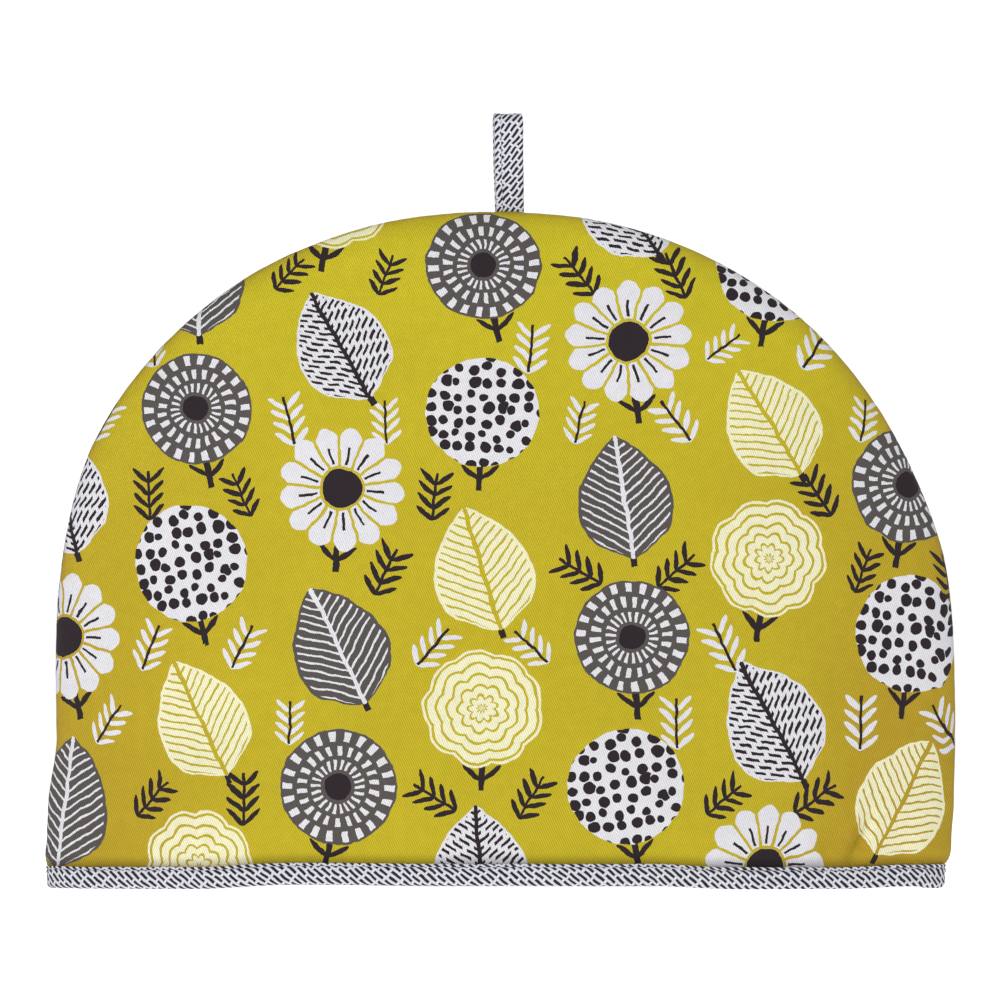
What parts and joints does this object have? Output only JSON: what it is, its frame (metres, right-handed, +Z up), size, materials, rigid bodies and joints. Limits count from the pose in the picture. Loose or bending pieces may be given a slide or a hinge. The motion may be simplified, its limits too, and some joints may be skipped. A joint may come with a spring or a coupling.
{
  "type": "tea cosy",
  "caption": "Padded half-moon tea cosy of printed cotton, standing open on its bound hem, with a hanging loop at the top of the arch seam.",
  "frame": {"origin": "centre of the bounding box's base, on the surface that the hem stands on", "axes": "+X along the width, to the right as seen from the front; +Y from the front panel to the back panel; +Z up, from the hem to the loop"},
  "size_m": [0.3402, 0.1226, 0.2901],
  "materials": {
    "printed_cotton": "matt woven cotton twill, printed in white, charcoal and cream on mustard, over soft padding",
    "dashed_cotton": "matt woven cotton, white with short near-black dashes"
  },
  "bodies": {
    "root": {"front_panel": "printed_cotton", "back_panel": "printed_cotton", "hem_binding": "dashed_cotton", "hanging_loop": "dashed_cotton"}
  },
  "joints": []
}
